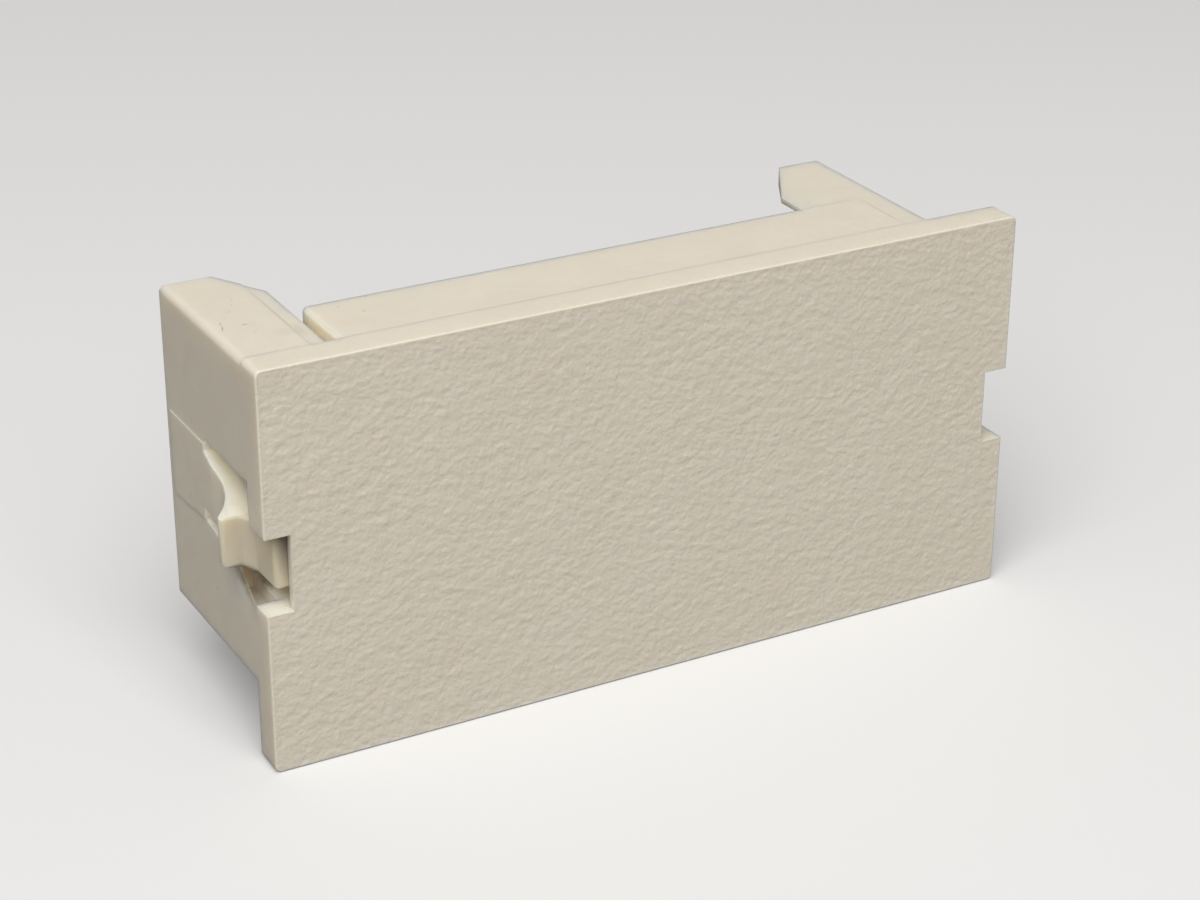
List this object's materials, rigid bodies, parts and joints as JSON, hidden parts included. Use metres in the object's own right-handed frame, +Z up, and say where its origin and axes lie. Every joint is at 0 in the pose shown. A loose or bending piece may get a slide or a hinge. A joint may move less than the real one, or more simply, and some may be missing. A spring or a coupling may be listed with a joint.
{
  "type": "rack blank module",
  "caption": "Moulded cream plastic blank that snaps into an open bay of a rack panel: textured face plate with arms behind it and a sprung latch tongue at one end.",
  "frame": {"origin": "on the back face of the plate, at the middle of its width and of the height of the lip below the arms", "axes": "+X along the plate towards the end away from the latch, +Y out of the back of the plate into the panel, +Z up the plate from the lip to the arms"},
  "size_m": [0.039, 0.011, 0.019],
  "materials": {
    "cream_plastic": "cream moulded plastic, pebble grain on the front face, satin and smooth elsewhere"
  },
  "bodies": {
    "root": {"blank_module": "cream_plastic"}
  },
  "joints": []
}
